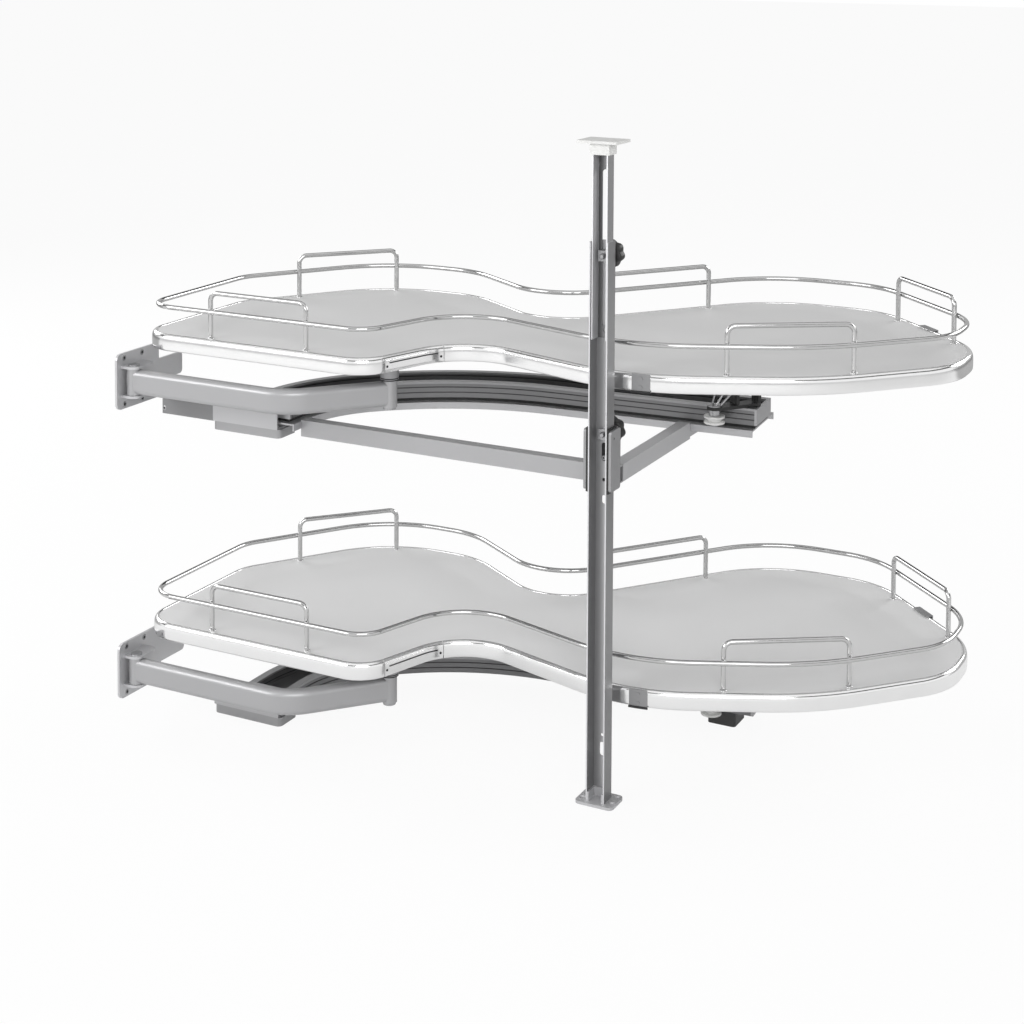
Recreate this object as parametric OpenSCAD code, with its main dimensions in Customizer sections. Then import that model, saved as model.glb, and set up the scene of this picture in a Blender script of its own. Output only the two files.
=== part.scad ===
// Swing-out corner unit: two lobed trays stacked on one post. Each tray hangs on a bent swing arm at
// its left and is guided by a curved rail under its right half. All sizes are in millimetres.
// The unit is laid out from its left front: X to the right, Y into the cabinet, Z up from the floor,
// and is then moved so that the origin lies on the floor at the middle of the post's foot.

/* [Tray] */
// Width of a tray, from its left edge to its right end
tray_w = 928; // [916:1:940]
// Depth of a tray, from its front edge to the back of its right lobe
tray_d = 557; // [550:1:570]
// Height of the upper tray's edge above the floor
upper_h = 484; // [470:1:500]
// Height of the lower tray's edge above the floor
lower_h = 127; // [125:1:150]
// Height of the bright band round the board
band_h = 20; // [19:0.5:23]
// Wall thickness of the band
band_t = 2.5; // [1.5:0.1:3.5]
// Thickness of the board
board_t = 16; // [14:0.5:17]
// Depth of the board's surface below the band's top
board_drop = 1; // [0.5:0.1:1.5]

/* [Gallery] */
// Thickness of the gallery's wire
wire_d = 5.8; // [5:0.1:6.4]
// Height of the wire rail above the tray's edge
rail_up = 32; // [28:1:38]
// Distance of the wire rail inside the tray's edge
rail_in = 8; // [7:0.5:9]
// Height of the raised hoops, to the top of the wire
hoop_h = 57; // [52:1:64]
// Bend radius at the hoops' upper corners
hoop_r = 10; // [8:1:14]

/* [Swing arm] */
// Height of the arm's section
arm_h = 30; // [26:1:31]
// Thickness of the arm's section
arm_t = 16; // [14:0.5:18]
// Depth of the arm's mid height below the tray's edge
arm_down = 58.5; // [58:0.5:60]
// Diameter of the arm's two end barrels
barrel_d = 18; // [17:0.5:20]
// Radius of the pins that the arm turns on
pin_r = 5; // [4:0.5:6]
// Radial play of a pin in its bore
pin_play = 0.05; // [0.02:0.01:0.09]
// Radius of the arm's bend, along its middle line
arm_bend_r = 60; // [50:1:70]

/* [Wall hinge] */
// Thickness of the wall plate and of its two ears
hinge_t = 3; // [2.5:0.1:3.5]
// Distance between the wall plate's holes along Y
hinge_pitch_y = 34; // [30:1:38]
// Distance between the wall plate's holes along Z
hinge_pitch_z = 57; // [54:1:58]
// Radius of the wall plate's holes
hinge_hole_r = 2.5; // [2:0.1:3]

/* [Guide rail] */
// Width of the curved guide rail
guide_w = 62; // [56:1:66]
// Height of the guide rail
guide_h = 20; // [18:0.5:21]
// Wall thickness of the guide rail
guide_t = 2.5; // [2:0.1:3.5]
// Width of the guide rail's lips
guide_lip = 10; // [8:0.5:14]
// Depth of the guide rail's underside below the tray's edge
guide_down = 104; // [103:0.5:106]
// Radius of the guide rail's first bend, along its inner wall
guide_r1 = 142; // [130:1:146]
// Radius of the guide rail's second bend, along its inner wall
guide_r2 = 316; // [290:1:318]

/* [Guide roller] */
// Radius of the guide roller
roller_r = 12.5; // [10:0.5:13]
// Height of the guide roller
roller_h = 9; // [8:0.5:10]
// Radius of the roller's axle
axle_r = 3; // [2.5:0.1:3.5]

/* [Base frame] */
// Height of the two box-section bars
bar_h = 20; // [18:0.5:21]
// Depth of the two box-section bars
bar_d = 15; // [12:0.5:18]
// Wall thickness of the bars
bar_t = 1.5; // [1.2:0.1:2]
// Sheet thickness of the pan and the front plates
sheet_t = 2; // [1.5:0.1:2.5]
// How far the extension bracket reaches past the tray's left edge
extension_out = 12; // [9:0.5:14]

/* [Post] */
// Width of the post's lower channel
post_w = 22.5; // [22:0.5:24]
// Depth of the post's lower channel
post_d = 20; // [19:0.5:21]
// Sheet thickness of both channels
post_t = 1.5; // [1.2:0.1:1.8]
// Height of the lower channel's top
post_h = 633; // [625:1:640]
// Height of the whole post, to the top of its cap
unit_h = 745; // [735:1:750]
// Length of upper channel held inside the lower one
overlap = 109; // [100:1:115]
// Play between the two channels on each side
slide_gap = 0.3; // [0.2:0.05:0.4]
// Radius of the clamp bolts
bolt_r = 3; // [2.5:0.1:3.5]
// Radius of the clamp knobs
knob_r = 16; // [14:0.5:17]
// Thickness of the clamp knobs
knob_t = 14; // [10:1:16]

/* [Hidden] */
$fn = 48;

// Steps round a bend of a tray's outline and of the guide rail, in degrees
bend_step = 5;
guide_step = 3;
// Face-to-face pieces of different bodies keep this much air
air = 0.3;
// A cut runs this far past the faces that it goes through
past = 1;

// Middle of the post's foot, where the origin lies
post_x = 590;
post_y = 68.5;

// Tray outline, clockwise from the left front. Each corner has its x as a share of the tray's width, its y
// as a share of the tray's depth, and the radius of its round as a share of the tray's mean size
outline_shares = [
    [0, 0, 0.0626], [0, 0.386, 0.0835], [0.1315, 0.7145, 0.2086], [0.2791, 0.7145, 0.1669],
    [0.4429, 0.5296, 0.0974], [0.6606, 1, 0.2086], [0.8276, 1, 0.153], [1, 0.7127, 0.153],
    [1, 0.5314, 0.1391], [0.8718, 0.2962, 0.4173], [0.6649, 0.1364, 0.2782], [0.403, 0.2675, 0.0974],
    [0.3502, 0, 0.0626]
];
tray_mean = sqrt(tray_w * tray_d);
outline = [for (c = outline_shares) [c[0] * tray_w, c[1] * tray_d, c[2] * tray_mean]];
// The joiner closes the band in the notch between these two depths, on both sides of this x
joiner_y = [0.0513, 0.1957] * tray_d;
joiner_x = 0.3718 * tray_w;
joiner_reach = 35;
seam = 0.3;

// The wire rail is bent from two lengths: these are the first and the last bend of each
left_bends = [11, 17];
right_bends = [5, 10];

// Hoop feet, each pair as x and y of its first and second leg, in shares of the tray's width and depth
hoop_shares = [
    [[0.1078, 0], [0.2543, 0]], [[0.0539, 0.4937], [0.1573, 0.6643]], [[0.4978, 0.6373], [0.5991, 0.8402]],
    [[0.7748, 0.2118], [0.8998, 0.3752]], [[0.8578, 0.9066], [0.9547, 0.7289]]
];
hoop_feet = [for (pair = hoop_shares) [for (foot = pair) [foot[0] * tray_w, foot[1] * tray_d]]];

// The arm turns at the wall hinge and carries the tray at its far end
hinge_at = [5, -12];
pivot_in = 18;
pivot_at = [outline[12][0] - pivot_in, 84.5];
pivot_half = [42, 38];
barrel_h = arm_h + 2;
arm_top = barrel_h / 2 - arm_down;
arm_low = -barrel_h / 2 - arm_down;
arm_end_run = 84;
arm_corner = [pivot_at[0] - arm_end_run, hinge_at[1]];
board_low = -board_drop - board_t;

// Guide rail: its inner wall runs back from the front, round two bends and on to the right
guide_path = [[174, 75, 0], [174, 159, guide_r1], [300, 285, guide_r2], [680, 311.6, 0]];
guide_top = guide_h - guide_down;

// The roller hangs in front of the guide rail's inner wall
roller_at = [638, 288];
carrier_at = [672, 330];
roller_low = guide_top - 16;
carrier_low = guide_top + air;
carrier_t = 4;

// Sheet pan under the upper guide rail
pan_front = 9;
pan_back = 24;
pan_drop = 8.5;
spacer_h = 4;
pan_low = -guide_down - spacer_h - pan_drop;
// Front plates stand at this depth, and the foot under them is this deep
front_y = 62;
foot_x = [67, 165];
foot_d = 38;
foot_low = -127;
slide_in = 60;
foot_top = pan_low;
plate_top = -96;

// Walls of the post's two channels
post_front = post_y - 11.5;
post_back = post_front + post_d;
inner_w = post_w - 2 * (post_t + slide_gap);
inner_d = post_d - post_t - slide_gap - 2;
inner_low = post_h - overlap;
height_bolt_z = post_h - 17;
slot_ends = [17, 37];
bracket_bolt_z = upper_h - 68;
bracket_z = [upper_h - 128, upper_h - 60];
plate_t = 3;
liner_t = 2.5;
cap_t = 3;
cap_block_h = 13;
foot_t = 3.3;
foot_pitch_x = 37;
foot_pitch_y = 17;
foot_hole_r = 2.3;
foot_hole_y = 3;
inner_back = post_back - post_t - slide_gap;

// Wall hinge: left face, front edge and half height of its plate, measured from the arm's mid height
hinge_face = -9;
hinge_front = -31;
hinge_half = 34;
hinge_back = 50;
tail_from = 29;
tail_back = 97;
ear_back = 18;
tail_half = 13.5;

// Strap at the front and clip at the back of the band
strap_corner = 10;
strap_x = 0.6757 * tray_w;
strap_w = 21;
strap_t = 1.2;
clip_run = 6;
clip_w = 32;
clip_t = 1.2;
weld_gap = 0.05;
knuckle = 0.04;
bead = 0.1;
seat = 0.3;
carrier_r = 9;

// Bars between the pan and the post bracket
pan_y = front_y + 2 * sheet_t + 1;
pan_lead = guide_path[0][1] - pan_y;
bar_low = -126;
bar_front = post_back + liner_t + plate_t;
bar_left = guide_path[0][0] + pan_front;
bar_right = post_x + post_w / 2 + liner_t;

// The right bar's inner face and its back end, close in front of the pan's slanting edge
bar_inner = bar_right - bar_d;
plug_in = 30;
plug_out = 38;

// ---- Plane geometry -------------------------------------------------------------------------------
function unit(a, b) = (b - a) / norm(b - a);
function xy(p) = [p[0], p[1]];
function before(list, i) = list[(i + len(list) - 1) % len(list)];
function after(list, i) = list[(i + 1) % len(list)];
function wrapped(list, i) = list[(i + len(list)) % len(list)];
function heading(a, b) = atan2(b[1] - a[1], b[0] - a[0]);
function polar(r, a) = r * [cos(a), sin(a)];

// Turn at corner b of the way a, b, c, in degrees, positive to the left
function turn(a, b, c) = let(u = unit(a, b), v = unit(b, c)) atan2(cross(u, v), u * v);

// A round corner as [centre, radius, first angle, turn]
function bend(a, b, c, r) =
    let(
        t = turn(a, b, c),
        cut = r * tan(abs(t) / 2),
        start = b - cut * unit(a, b),
        out = heading(a, b) - sign(t) * 90
    )
    [start - polar(r, out), r, out, t];
function bend_start(b) = b[0] + polar(b[1], b[2]);
function bend_end(b) = b[0] + polar(b[1], b[2] + b[3]);
function bend_points(b, step = bend_step) =
    let(n = max(1, ceil(abs(b[3]) / step)))
    [for (k = [0 : n]) b[0] + polar(b[1], b[2] + b[3] * k / n)];

// Point of the closed line of points that lies nearest to p
function on_run(p, a, b) =
    norm(b - a) < 0.001 ? a : a + unit(a, b) * max(0, min(norm(b - a), (p - a) * unit(a, b)));
function nearest(p, points) =
    let(
        feet = [for (i = [0 : len(points) - 1]) on_run(p, points[i], after(points, i))],
        gaps = [for (f = feet) norm(f - p)]
    )
    feet[search(min(gaps), gaps)[0]];

// Corners of a closed clockwise outline moved inwards by d, with their rounds kept concentric
function inset(list, d) = [
    for (i = [0 : len(list) - 1])
        let(
            a = xy(before(list, i)),
            b = xy(list[i]),
            c = xy(after(list, i)),
            u = unit(a, b),
            v = unit(b, c),
            m = [u[1], -u[0]],
            n = [v[1], -v[0]],
            moved = b + d * (m + n) / (1 + m * n)
        )
        [moved[0], moved[1], list[i][2] + d * sign(turn(a, b, c))]
];
function bends(list) = [
    for (i = [0 : len(list) - 1])
        bend(xy(before(list, i)), xy(list[i]), xy(after(list, i)), list[i][2])
];
function outline_points(list, step = bend_step) = [for (b = bends(list)) each bend_points(b, step)];

// The arm's middle line and the two ends of its straight runs
arm_bend = bend(hinge_at, arm_corner, pivot_at, arm_bend_r);

// The guide rail's two bends
guide_bends = [
    for (i = [1 : len(guide_path) - 2])
        bend(xy(guide_path[i - 1]), xy(guide_path[i]), xy(guide_path[i + 1]), guide_path[i][2])
];
guide_start = xy(guide_path[0]);
guide_end = xy(guide_path[len(guide_path) - 1]);
guide_out = heading(bend_end(guide_bends[1]), guide_end);
bar_back = guide_end[1] - (guide_end[0] - bar_inner) * tan(guide_out) - pan_front / cos(guide_out)
    - weld_gap;

// The guide rail's way at the distance u outwards from its inner wall
function wider(b, u) = [b[0], b[1] + u, b[2], b[3]];
function guide_line(u, lead) = [
    guide_start - [u, lead],
    for (b = guide_bends) each bend_points(wider(b, u), guide_step),
    guide_end + polar(u, guide_out + 90)
];
function reversed(list) = [for (i = [len(list) - 1 : -1 : 0]) list[i]];

// ---- Shared shapes --------------------------------------------------------------------------------
module at_origin(z = 0) {
    translate([-post_x, -post_y, z]) children();
}

// Straight round bar between two points in space
module rod(a, b, d) {
    way = b - a;
    translate(a)
        rotate([0, acos(way[2] / norm(way)), atan2(way[1], way[0])])
            cylinder(h = norm(way), d = d);
}

// Flat-faced block from its lowest to its highest corner
module block(low, high) {
    translate(low) cube(high - low);
}

// Rectangle with round corners, from its lowest to its highest corner
module round_rect(low, high, r) {
    translate([low[0] + r, low[1]]) square([high[0] - low[0] - 2 * r, high[1] - low[1]]);
    translate([low[0], low[1] + r]) square([high[0] - low[0], high[1] - low[1] - 2 * r]);
    for (x = [low[0] + r, high[0] - r], y = [low[1] + r, high[1] - r])
        translate([x, y]) circle(r);
}

// Plate that stands across Y: its outline is drawn in X and Z, its front face lies at y
module plate_y(y, t) {
    translate([0, y + t, 0]) rotate([90, 0, 0]) linear_extrude(t) children();
}

// Plate that stands across X: its outline is drawn in Y and Z, its left face lies at x
module plate_x(x, t) {
    translate([x, 0, 0]) rotate([90, 0, 90]) linear_extrude(t) children();
}

// Cylinder along Y from y, as a bolt or a hole
module along_y(x, y, z, h, r) {
    translate([x, y, z]) rotate([-90, 0, 0]) cylinder(h = h, r = r);
}

// Cylinder along X from x
module along_x(x, y, z, h, r) {
    translate([x, y, z]) rotate([0, 90, 0]) cylinder(h = h, r = r);
}

// Strip that follows the guide rail's way: it lies between u[0] and u[1] outwards from the inner wall and
// between z[0] and z[1] in height, and starts lead in front of the rail
module guide_strip(u, z, lead = 0) {
    translate([0, 0, z[0]]) linear_extrude(z[1] - z[0])
        polygon([each guide_line(u[0], lead), each reversed(guide_line(u[1], lead))]);
}

// Open channel section in plan, its web at the back, from its left front corner
module channel(w, d, t, h) {
    linear_extrude(h) difference() {
        square([w, d]);
        translate([t, -past]) square([w - 2 * t, d - t + past]);
    }
}

// ---- Tray -----------------------------------------------------------------------------------------
// Grey board that carries the goods
module board(h) {
    color("lightgray") at_origin(h) translate([0, 0, board_low])
        linear_extrude(board_t) polygon(outline_points(inset(outline, band_t)));
}

// Ring of the band, with the ledge that the board lies on
module band_ring() {
    ledge_w = 7;
    ledge_h = band_h + board_low;
    translate([0, 0, -band_h]) {
        linear_extrude(band_h) difference() {
            polygon(outline_points(outline));
            polygon(outline_points(inset(outline, band_t)));
        }
        linear_extrude(ledge_h) difference() {
            polygon(outline_points(inset(outline, band_t)));
            polygon(outline_points(inset(outline, ledge_w)));
        }
    }
}

// Space that the joiner takes out of the band, smaller by gap at both seams
module joiner_space(gap) {
    block([joiner_x - joiner_reach, joiner_y[0] + gap, -band_h - past],
          [joiner_x + joiner_reach + 5, joiner_y[1] - gap, past]);
}

// Long bright band round the board, open in the notch
module band(h) {
    color("gainsboro") at_origin(h) difference() {
        band_ring();
        joiner_space(0);
    }
}

// Short piece that closes the band in the notch
module band_joiner(h) {
    color("gainsboro") at_origin(h) intersection() {
        band_ring();
        joiner_space(seam / 2);
    }
}

// Point half-way along the straight run that follows bend i
function run_middle(way, i) = (bend_end(wrapped(way, i)) + bend_start(wrapped(way, i + 1))) / 2;

// Straight wire in plan from a to b, which reaches into the bends at its ends by seats[0] and seats[1]
module wire_run(a, b, seats) {
    way = unit(a, b);
    rod([each a - way * seats[0], 0], [each b + way * seats[1], 0], wire_d);
}

// One length of the wire rail, from the middle of a straight run round the bends first to last and up to
// the middle of the next run. The bends are a hair thicker than the runs that are seated in their ends.
module rail_length(h, ends) {
    way = bends(inset(outline, rail_in));
    color("silver") at_origin(h + rail_up) for (i = [ends[0] : ends[1]]) {
        b = wrapped(way, i);
        translate(b[0]) rotate([0, 0, min(b[2], b[2] + b[3])]) rotate_extrude(angle = abs(b[3]))
            translate([b[1], 0]) circle(d = wire_d + bead);
        if (i == ends[0]) wire_run(run_middle(way, i - 1), bend_start(b), [0, seat]);
        if (i == ends[1]) wire_run(run_middle(way, i), bend_end(b), [0, seat]);
        else wire_run(bend_end(b), bend_start(wrapped(way, i + 1)), [seat, seat]);
    }
}

// One raised hoop, from foot a to foot b on the board
module hoop(a, b) {
    w = norm(b - a);
    top = hoop_h - wire_d / 2;
    translate(a) rotate([90, 0, heading(a, b)]) {
        for (x = [0, w])
            translate([x, -board_drop, 0]) rotate([-90, 0, 0])
                cylinder(h = top - hoop_r + board_drop, d = wire_d);
        translate([hoop_r, top - hoop_r, 0]) rotate([0, 0, 90]) rotate_extrude(angle = 90)
            translate([hoop_r, 0]) circle(d = wire_d);
        translate([w - hoop_r, top - hoop_r, 0]) rotate_extrude(angle = 90)
            translate([hoop_r, 0]) circle(d = wire_d);
        translate([hoop_r, top, 0]) rotate([0, 90, 0]) cylinder(h = w - 2 * hoop_r, d = wire_d);
    }
}

// The five hoops of a tray, their legs against the inside of the wire rail
module hoops(h) {
    line = outline_points(inset(outline, rail_in + wire_d + weld_gap), 1);
    color("silver") at_origin(h) for (f = hoop_feet) hoop(nearest(f[0], line), nearest(f[1], line));
}

// Strap that ties the band's ends together at the front, with two small screws
module strap(h) {
    round = bends(outline)[strap_corner];
    angle = 270 + asin((strap_x - round[0][0]) / round[1]);
    half = strap_w / round[1] * 90 / PI;
    color("darkgray") at_origin(h) translate(round[0]) {
        rotate([0, 0, angle - half]) rotate_extrude(angle = 2 * half)
            translate([round[1], -band_h]) square([strap_t, band_h]);
        for (z = [0.25, 0.75])
            rotate([0, 0, angle]) along_x(round[1], 0, -band_h * z, strap_t + 1, 2);
    }
}

// Sheet clip that grips the band's top at the back of the right lobe
module clip(h) {
    way = bends(outline);
    a = bend_end(way[clip_run]);
    b = bend_start(way[clip_run + 1]);
    color("gray") at_origin(h) translate((a + b) / 2) rotate([0, 0, heading(a, b)]) {
        block([-clip_w / 2, -8, 0], [clip_w / 2, clip_t, clip_t]);
        block([-clip_w / 2, 0, -band_h * 0.6], [clip_w / 2, clip_t, 0]);
    }
}

// Steel plate under the board above the arm's end, with its four screws
module pivot_plate(h) {
    color("silver") at_origin(h) translate([pivot_at[0] - pivot_in, pivot_at[1], board_low - plate_t]) {
        linear_extrude(plate_t) round_rect(-pivot_half, pivot_half, 12);
        for (x = [-1, 1] * (pivot_half[0] - 10), y = [-1, 1] * (pivot_half[1] - 10))
            translate([x, y, -2]) cylinder(h = 2, r = 4);
    }
}

// Dark boss between that plate and the arm's end barrel
module pivot_boss(h) {
    top = board_low - plate_t;
    color("dimgray") at_origin(h) translate([pivot_at[0], pivot_at[1], arm_top + air]) {
        cylinder(h = top - arm_top - air, r = barrel_d / 2 + 2);
        translate([0, 0, top - arm_top - air - 5]) cylinder(h = 5, r = barrel_d / 2 + 9);
    }
}

// Pin that the tray turns on in the arm's end barrel, with its retaining head
module pivot_pin(h) {
    head_t = 2.5;
    color("silver") at_origin(h) translate([pivot_at[0], pivot_at[1], arm_low - air]) {
        cylinder(h = arm_top - arm_low + 2 * air, r = pin_r);
        translate([0, 0, -head_t]) cylinder(h = head_t, r = pin_r + 2.5);
    }
}

// Black bracket under the board that reaches over the guide rail and carries the roller's axle
module roller_carrier(h) {
    way = roller_at - carrier_at;
    reach = norm(way);
    color("#202020") at_origin(h) translate([carrier_at[0], carrier_at[1], 0]) {
        translate([0, 0, board_low - plate_t]) linear_extrude(plate_t) round_rect([-32, -30], [32, 30], 8);
        rotate([0, 0, atan2(way[1], way[0])]) {
            translate([0, 0, carrier_low]) linear_extrude(carrier_t) {
                circle(carrier_r);
                translate([reach, 0]) circle(carrier_r);
                translate([0, -carrier_r]) square([reach, 2 * carrier_r]);
            }
            for (x = [-6, reach * 0.45])
                block([x, -8, carrier_low + carrier_t], [x + 4, 8, board_low - plate_t]);
        }
    }
}

// Axle of the guide roller, with the spacer above the roller and the head below it
module roller_axle(h) {
    spacer_low = roller_low + roller_h + air;
    color("silver") at_origin(h) translate([roller_at[0], roller_at[1], 0]) {
        translate([0, 0, roller_low - air]) cylinder(h = spacer_low - roller_low + air, r = axle_r);
        translate([0, 0, spacer_low]) cylinder(h = carrier_low - spacer_low, r = axle_r + 4);
        translate([0, 0, roller_low - air - 2.4]) cylinder(h = 2.4, r = axle_r + 3);
    }
}

// Nylon guide roller with a groove round its rim
module roller(h) {
    groove = 4;
    color("whitesmoke") at_origin(h + roller_low) translate([roller_at[0], roller_at[1], 0])
        rotate_extrude() polygon([
            [axle_r + pin_play, 0], [roller_r, 0], [roller_r, roller_h * 0.25],
            [roller_r - groove, roller_h * 0.4], [roller_r - groove, roller_h * 0.6],
            [roller_r, roller_h * 0.75], [roller_r, roller_h], [axle_r + pin_play, roller_h]
        ]);
}

// ---- Swing arm and wall hinge ---------------------------------------------------------------------
// The arm's section, its middle at the origin and swollen by more on every side
module arm_section(more = 0) {
    half = [arm_t / 2 + more, arm_h / 2 + more];
    round_rect(-half, half, 7);
}

// Straight run of the arm's section between two points in plan
module arm_run(a, b, more = 0) {
    translate(a) rotate([90, 0, heading(a, b) + 90]) linear_extrude(norm(b - a)) arm_section(more);
}

// Bent swing arm with a barrel at each end
module swing_arm(h) {
    b = arm_bend;
    color("darkgray") at_origin(h - arm_down) difference() {
        union() {
            arm_run(hinge_at, bend_start(b));
            translate(b[0]) rotate([0, 0, b[2]]) rotate_extrude(angle = b[3])
                translate([b[1], 0]) arm_section();
            arm_run(bend_end(b), pivot_at);
            for (p = [bend_start(b), bend_end(b)]) {
                way = p == bend_start(b) ? unit(hinge_at, p) : unit(p, pivot_at);
                arm_run(p - way * 0.25, p + way * 0.25, knuckle);
            }
            for (p = [hinge_at, pivot_at])
                translate([p[0], p[1], -barrel_h / 2]) cylinder(h = barrel_h, d = barrel_d);
        }
        for (p = [hinge_at, pivot_at])
            translate([p[0], p[1], -barrel_h]) cylinder(h = 2 * barrel_h, r = pin_r + pin_play);
    }
}

// Wall plate with a narrower tail and the two ears that hold the arm's hinge pin
module wall_hinge(h) {
    ear_r = barrel_d / 2 + 2;
    face = hinge_face + hinge_t;
    color("silver") at_origin(h - arm_down) {
        difference() {
            plate_x(hinge_face, hinge_t) {
                round_rect([hinge_front, -hinge_half], [hinge_back, hinge_half], 8);
                round_rect([tail_from, -tail_half], [tail_back, tail_half], 5);
            }
            for (y = [-1, 1] * hinge_pitch_y / 2, z = [-1, 1] * hinge_pitch_z / 2)
                along_x(hinge_face - past, y, z, hinge_t + 2 * past, hinge_hole_r);
        }
        for (z = [barrel_h / 2 + air, -barrel_h / 2 - air - hinge_t])
            translate([0, 0, z]) linear_extrude(hinge_t) difference() {
                union() {
                    for (y = [0, ear_back]) translate(hinge_at + [0, y]) circle(ear_r);
                    translate(hinge_at) square([ear_r, ear_back]);
                    translate([face, hinge_at[1] - ear_r])
                        square([hinge_at[0] - face, 2 * ear_r + ear_back]);
                }
                translate(hinge_at) circle(pin_r);
            }
    }
}

// Pin of the wall hinge, with a low head on top
module hinge_pin(h) {
    reach = barrel_h / 2 + air + hinge_t;
    color("silver") at_origin(h - arm_down) translate([hinge_at[0], hinge_at[1], -reach]) {
        cylinder(h = 2 * reach, r = pin_r);
        translate([0, 0, 2 * reach]) cylinder(h = 1.5, r = pin_r + 2);
    }
}

// ---- Guide rail and base frame --------------------------------------------------------------------
// Curved rail in front of which the roller runs: an open channel with two lips and a groove along its
// inner wall
module guide_rail(h) {
    lip_z = [guide_h - guide_t, guide_h];
    levels = [guide_t, guide_h * 0.3, guide_h * 0.36, guide_h * 0.63, guide_h * 0.69, lip_z[0]];
    color("dimgray") at_origin(h - guide_down) {
        guide_strip([0, guide_w], [0, guide_t]);
        for (k = [0 : 4]) guide_strip([k % 2, guide_t + 1], [levels[k], levels[k + 1]]);
        guide_strip([guide_w - guide_t, guide_w], [guide_t, lip_z[0]]);
        guide_strip([0, guide_lip], lip_z);
        guide_strip([guide_w - guide_lip, guide_w], lip_z);
    }
}

// Closing plates at the guide rail's two ends
module guide_ends(h) {
    color("silver") at_origin(h - guide_down) {
        block([guide_start[0] - guide_w, guide_start[1] - plate_t, 0], [each guide_start, guide_h]);
        translate(guide_end) rotate([0, 0, guide_out]) block([0, 0, 0], [plate_t, guide_w, guide_h]);
    }
}

// Screws on the guide rail's floor
module guide_screws(h) {
    mid = guide_w / 2;
    color("silver") at_origin(h - guide_down + guide_t) {
        translate(guide_start + [-mid, 12]) cylinder(h = 2, r = 4);
        for (b = guide_bends, k = [0.3, 0.8])
            translate(b[0] + polar(b[1] + mid, b[2] + b[3] * k)) cylinder(h = 2, r = 4);
        for (k = [0.35, 0.9])
            translate(bend_end(guide_bends[1]) * (1 - k) + guide_end * k)
                translate(polar(mid, guide_out + 90)) cylinder(h = 2, r = 4);
    }
}

// Upright plate at the front of the base, with the foot leg that lies behind it
module front_plate(h) {
    color("silver") at_origin(h) {
        block([foot_x[0], front_y, foot_top], [foot_x[1] - 3, front_y + sheet_t, plate_top]);
        block([foot_x[0] + 25, front_y, foot_top], [foot_x[1] - 3, front_y + foot_d, foot_top + sheet_t]);
    }
}

// Low round-cornered foot under the front plate
module front_foot(h, low) {
    color("gray") at_origin(h) translate([0, 0, low]) linear_extrude(foot_top - low)
        round_rect([foot_x[0], front_y], [foot_x[1], front_y + foot_d], 6);
}

// Three supports between the lower guide rail and the floor
module lower_rail_feet() {
    first = wider(guide_bends[0], guide_w / 2);
    color("gray") at_origin(lower_h) {
        block([foot_x[1] - 40, guide_start[1] + 3, foot_top + sheet_t],
              [foot_x[1] - 10, front_y + foot_d, -guide_down]);
        for (p = [bend_end(first), guide_end - polar(40, guide_out) + polar(guide_w / 2, guide_out + 90)])
            translate([p[0], p[1], -lower_h]) linear_extrude(lower_h - guide_down)
                round_rect([-18, -18], [18, 18], 4);
    }
}

// Black strip between the upper guide rail and its pan
module rail_spacer() {
    color("#202020") at_origin(upper_h - guide_down) guide_strip([3, guide_w - 3], [-spacer_h, 0]);
}

// Light sheet pan under the upper guide rail
module rail_pan() {
    color("silver") at_origin(upper_h + pan_low)
        guide_strip([-pan_front, guide_w + pan_back], [pan_drop - sheet_t, pan_drop], pan_lead);
}

// The pan's two edges, turned down
module pan_edges() {
    color("silver") at_origin(upper_h + pan_low) for (u = [-pan_front, guide_w + pan_back - sheet_t])
        guide_strip([u, u + sheet_t], [0, pan_drop - sheet_t], pan_lead);
}

// Box section of a bar, from its lower front corner
module bar_section() {
    difference() {
        square([bar_d, bar_h]);
        translate([bar_t, bar_t]) square([bar_d - 2 * bar_t, bar_h - 2 * bar_t]);
    }
}

// Bar from the pan's front to the post bracket and past it
module left_bar() {
    color("silver") at_origin(upper_h + bar_low)
        translate([bar_left, bar_front, 0]) rotate([90, 0, 90]) linear_extrude(bar_right - bar_left)
            bar_section();
}

// Bar from the left bar back to the pan's inner edge, with a plug that runs on under the pan
module right_bar() {
    back = bar_front + bar_d;
    color("silver") at_origin(upper_h + bar_low) {
        translate([bar_inner, bar_back, 0]) rotate([90, 0, 0]) linear_extrude(bar_back - back)
            bar_section();
        block([bar_inner + bar_t, bar_back - plug_in, bar_t],
              [bar_right - bar_t, bar_back + plug_out, pan_low - bar_low]);
    }
}

// Sliding bracket that reaches out to the cabinet's side
module extension_bracket() {
    y = front_y + sheet_t + air;
    low = foot_top + sheet_t + air;
    color("silver") at_origin(upper_h) difference() {
        union() {
            block([-extension_out, y, low], [foot_x[0] + slide_in, y + sheet_t, plate_top - 3]);
            block([-extension_out, y, foot_top - 1], [foot_x[0] - air, y + sheet_t, low]);
        }
        along_y(3 - extension_out, y - past, foot_top + 6, sheet_t + 2 * past, 2);
    }
}

// ---- Post -----------------------------------------------------------------------------------------
// Round or slotted hole through a web, from low to high between its end centres
module web_hole(low, high, r) {
    for (z = [low, high]) along_y(post_x, post_back - 20, z, 24, r);
    if (high > low) block([post_x - r, post_back - 20, low], [post_x + r, post_back + 4, high]);
}

// Lower channel of the post, open to the front
module post_lower() {
    color("gray") at_origin() difference() {
        translate([post_x - post_w / 2, post_front, foot_t])
            channel(post_w, post_d, post_t, post_h - foot_t);
        for (z = [height_bolt_z, bracket_bolt_z]) web_hole(z, z, bolt_r + 0.25);
        for (z = [73, upper_h - 120]) web_hole(z, z, 2);
        web_hole(52, 62, 3);
        web_hole(bracket_bolt_z - 28, bracket_bolt_z - 13, 3);
        web_hole(upper_h - 145, upper_h - 140, 2.5);
    }
}

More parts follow.
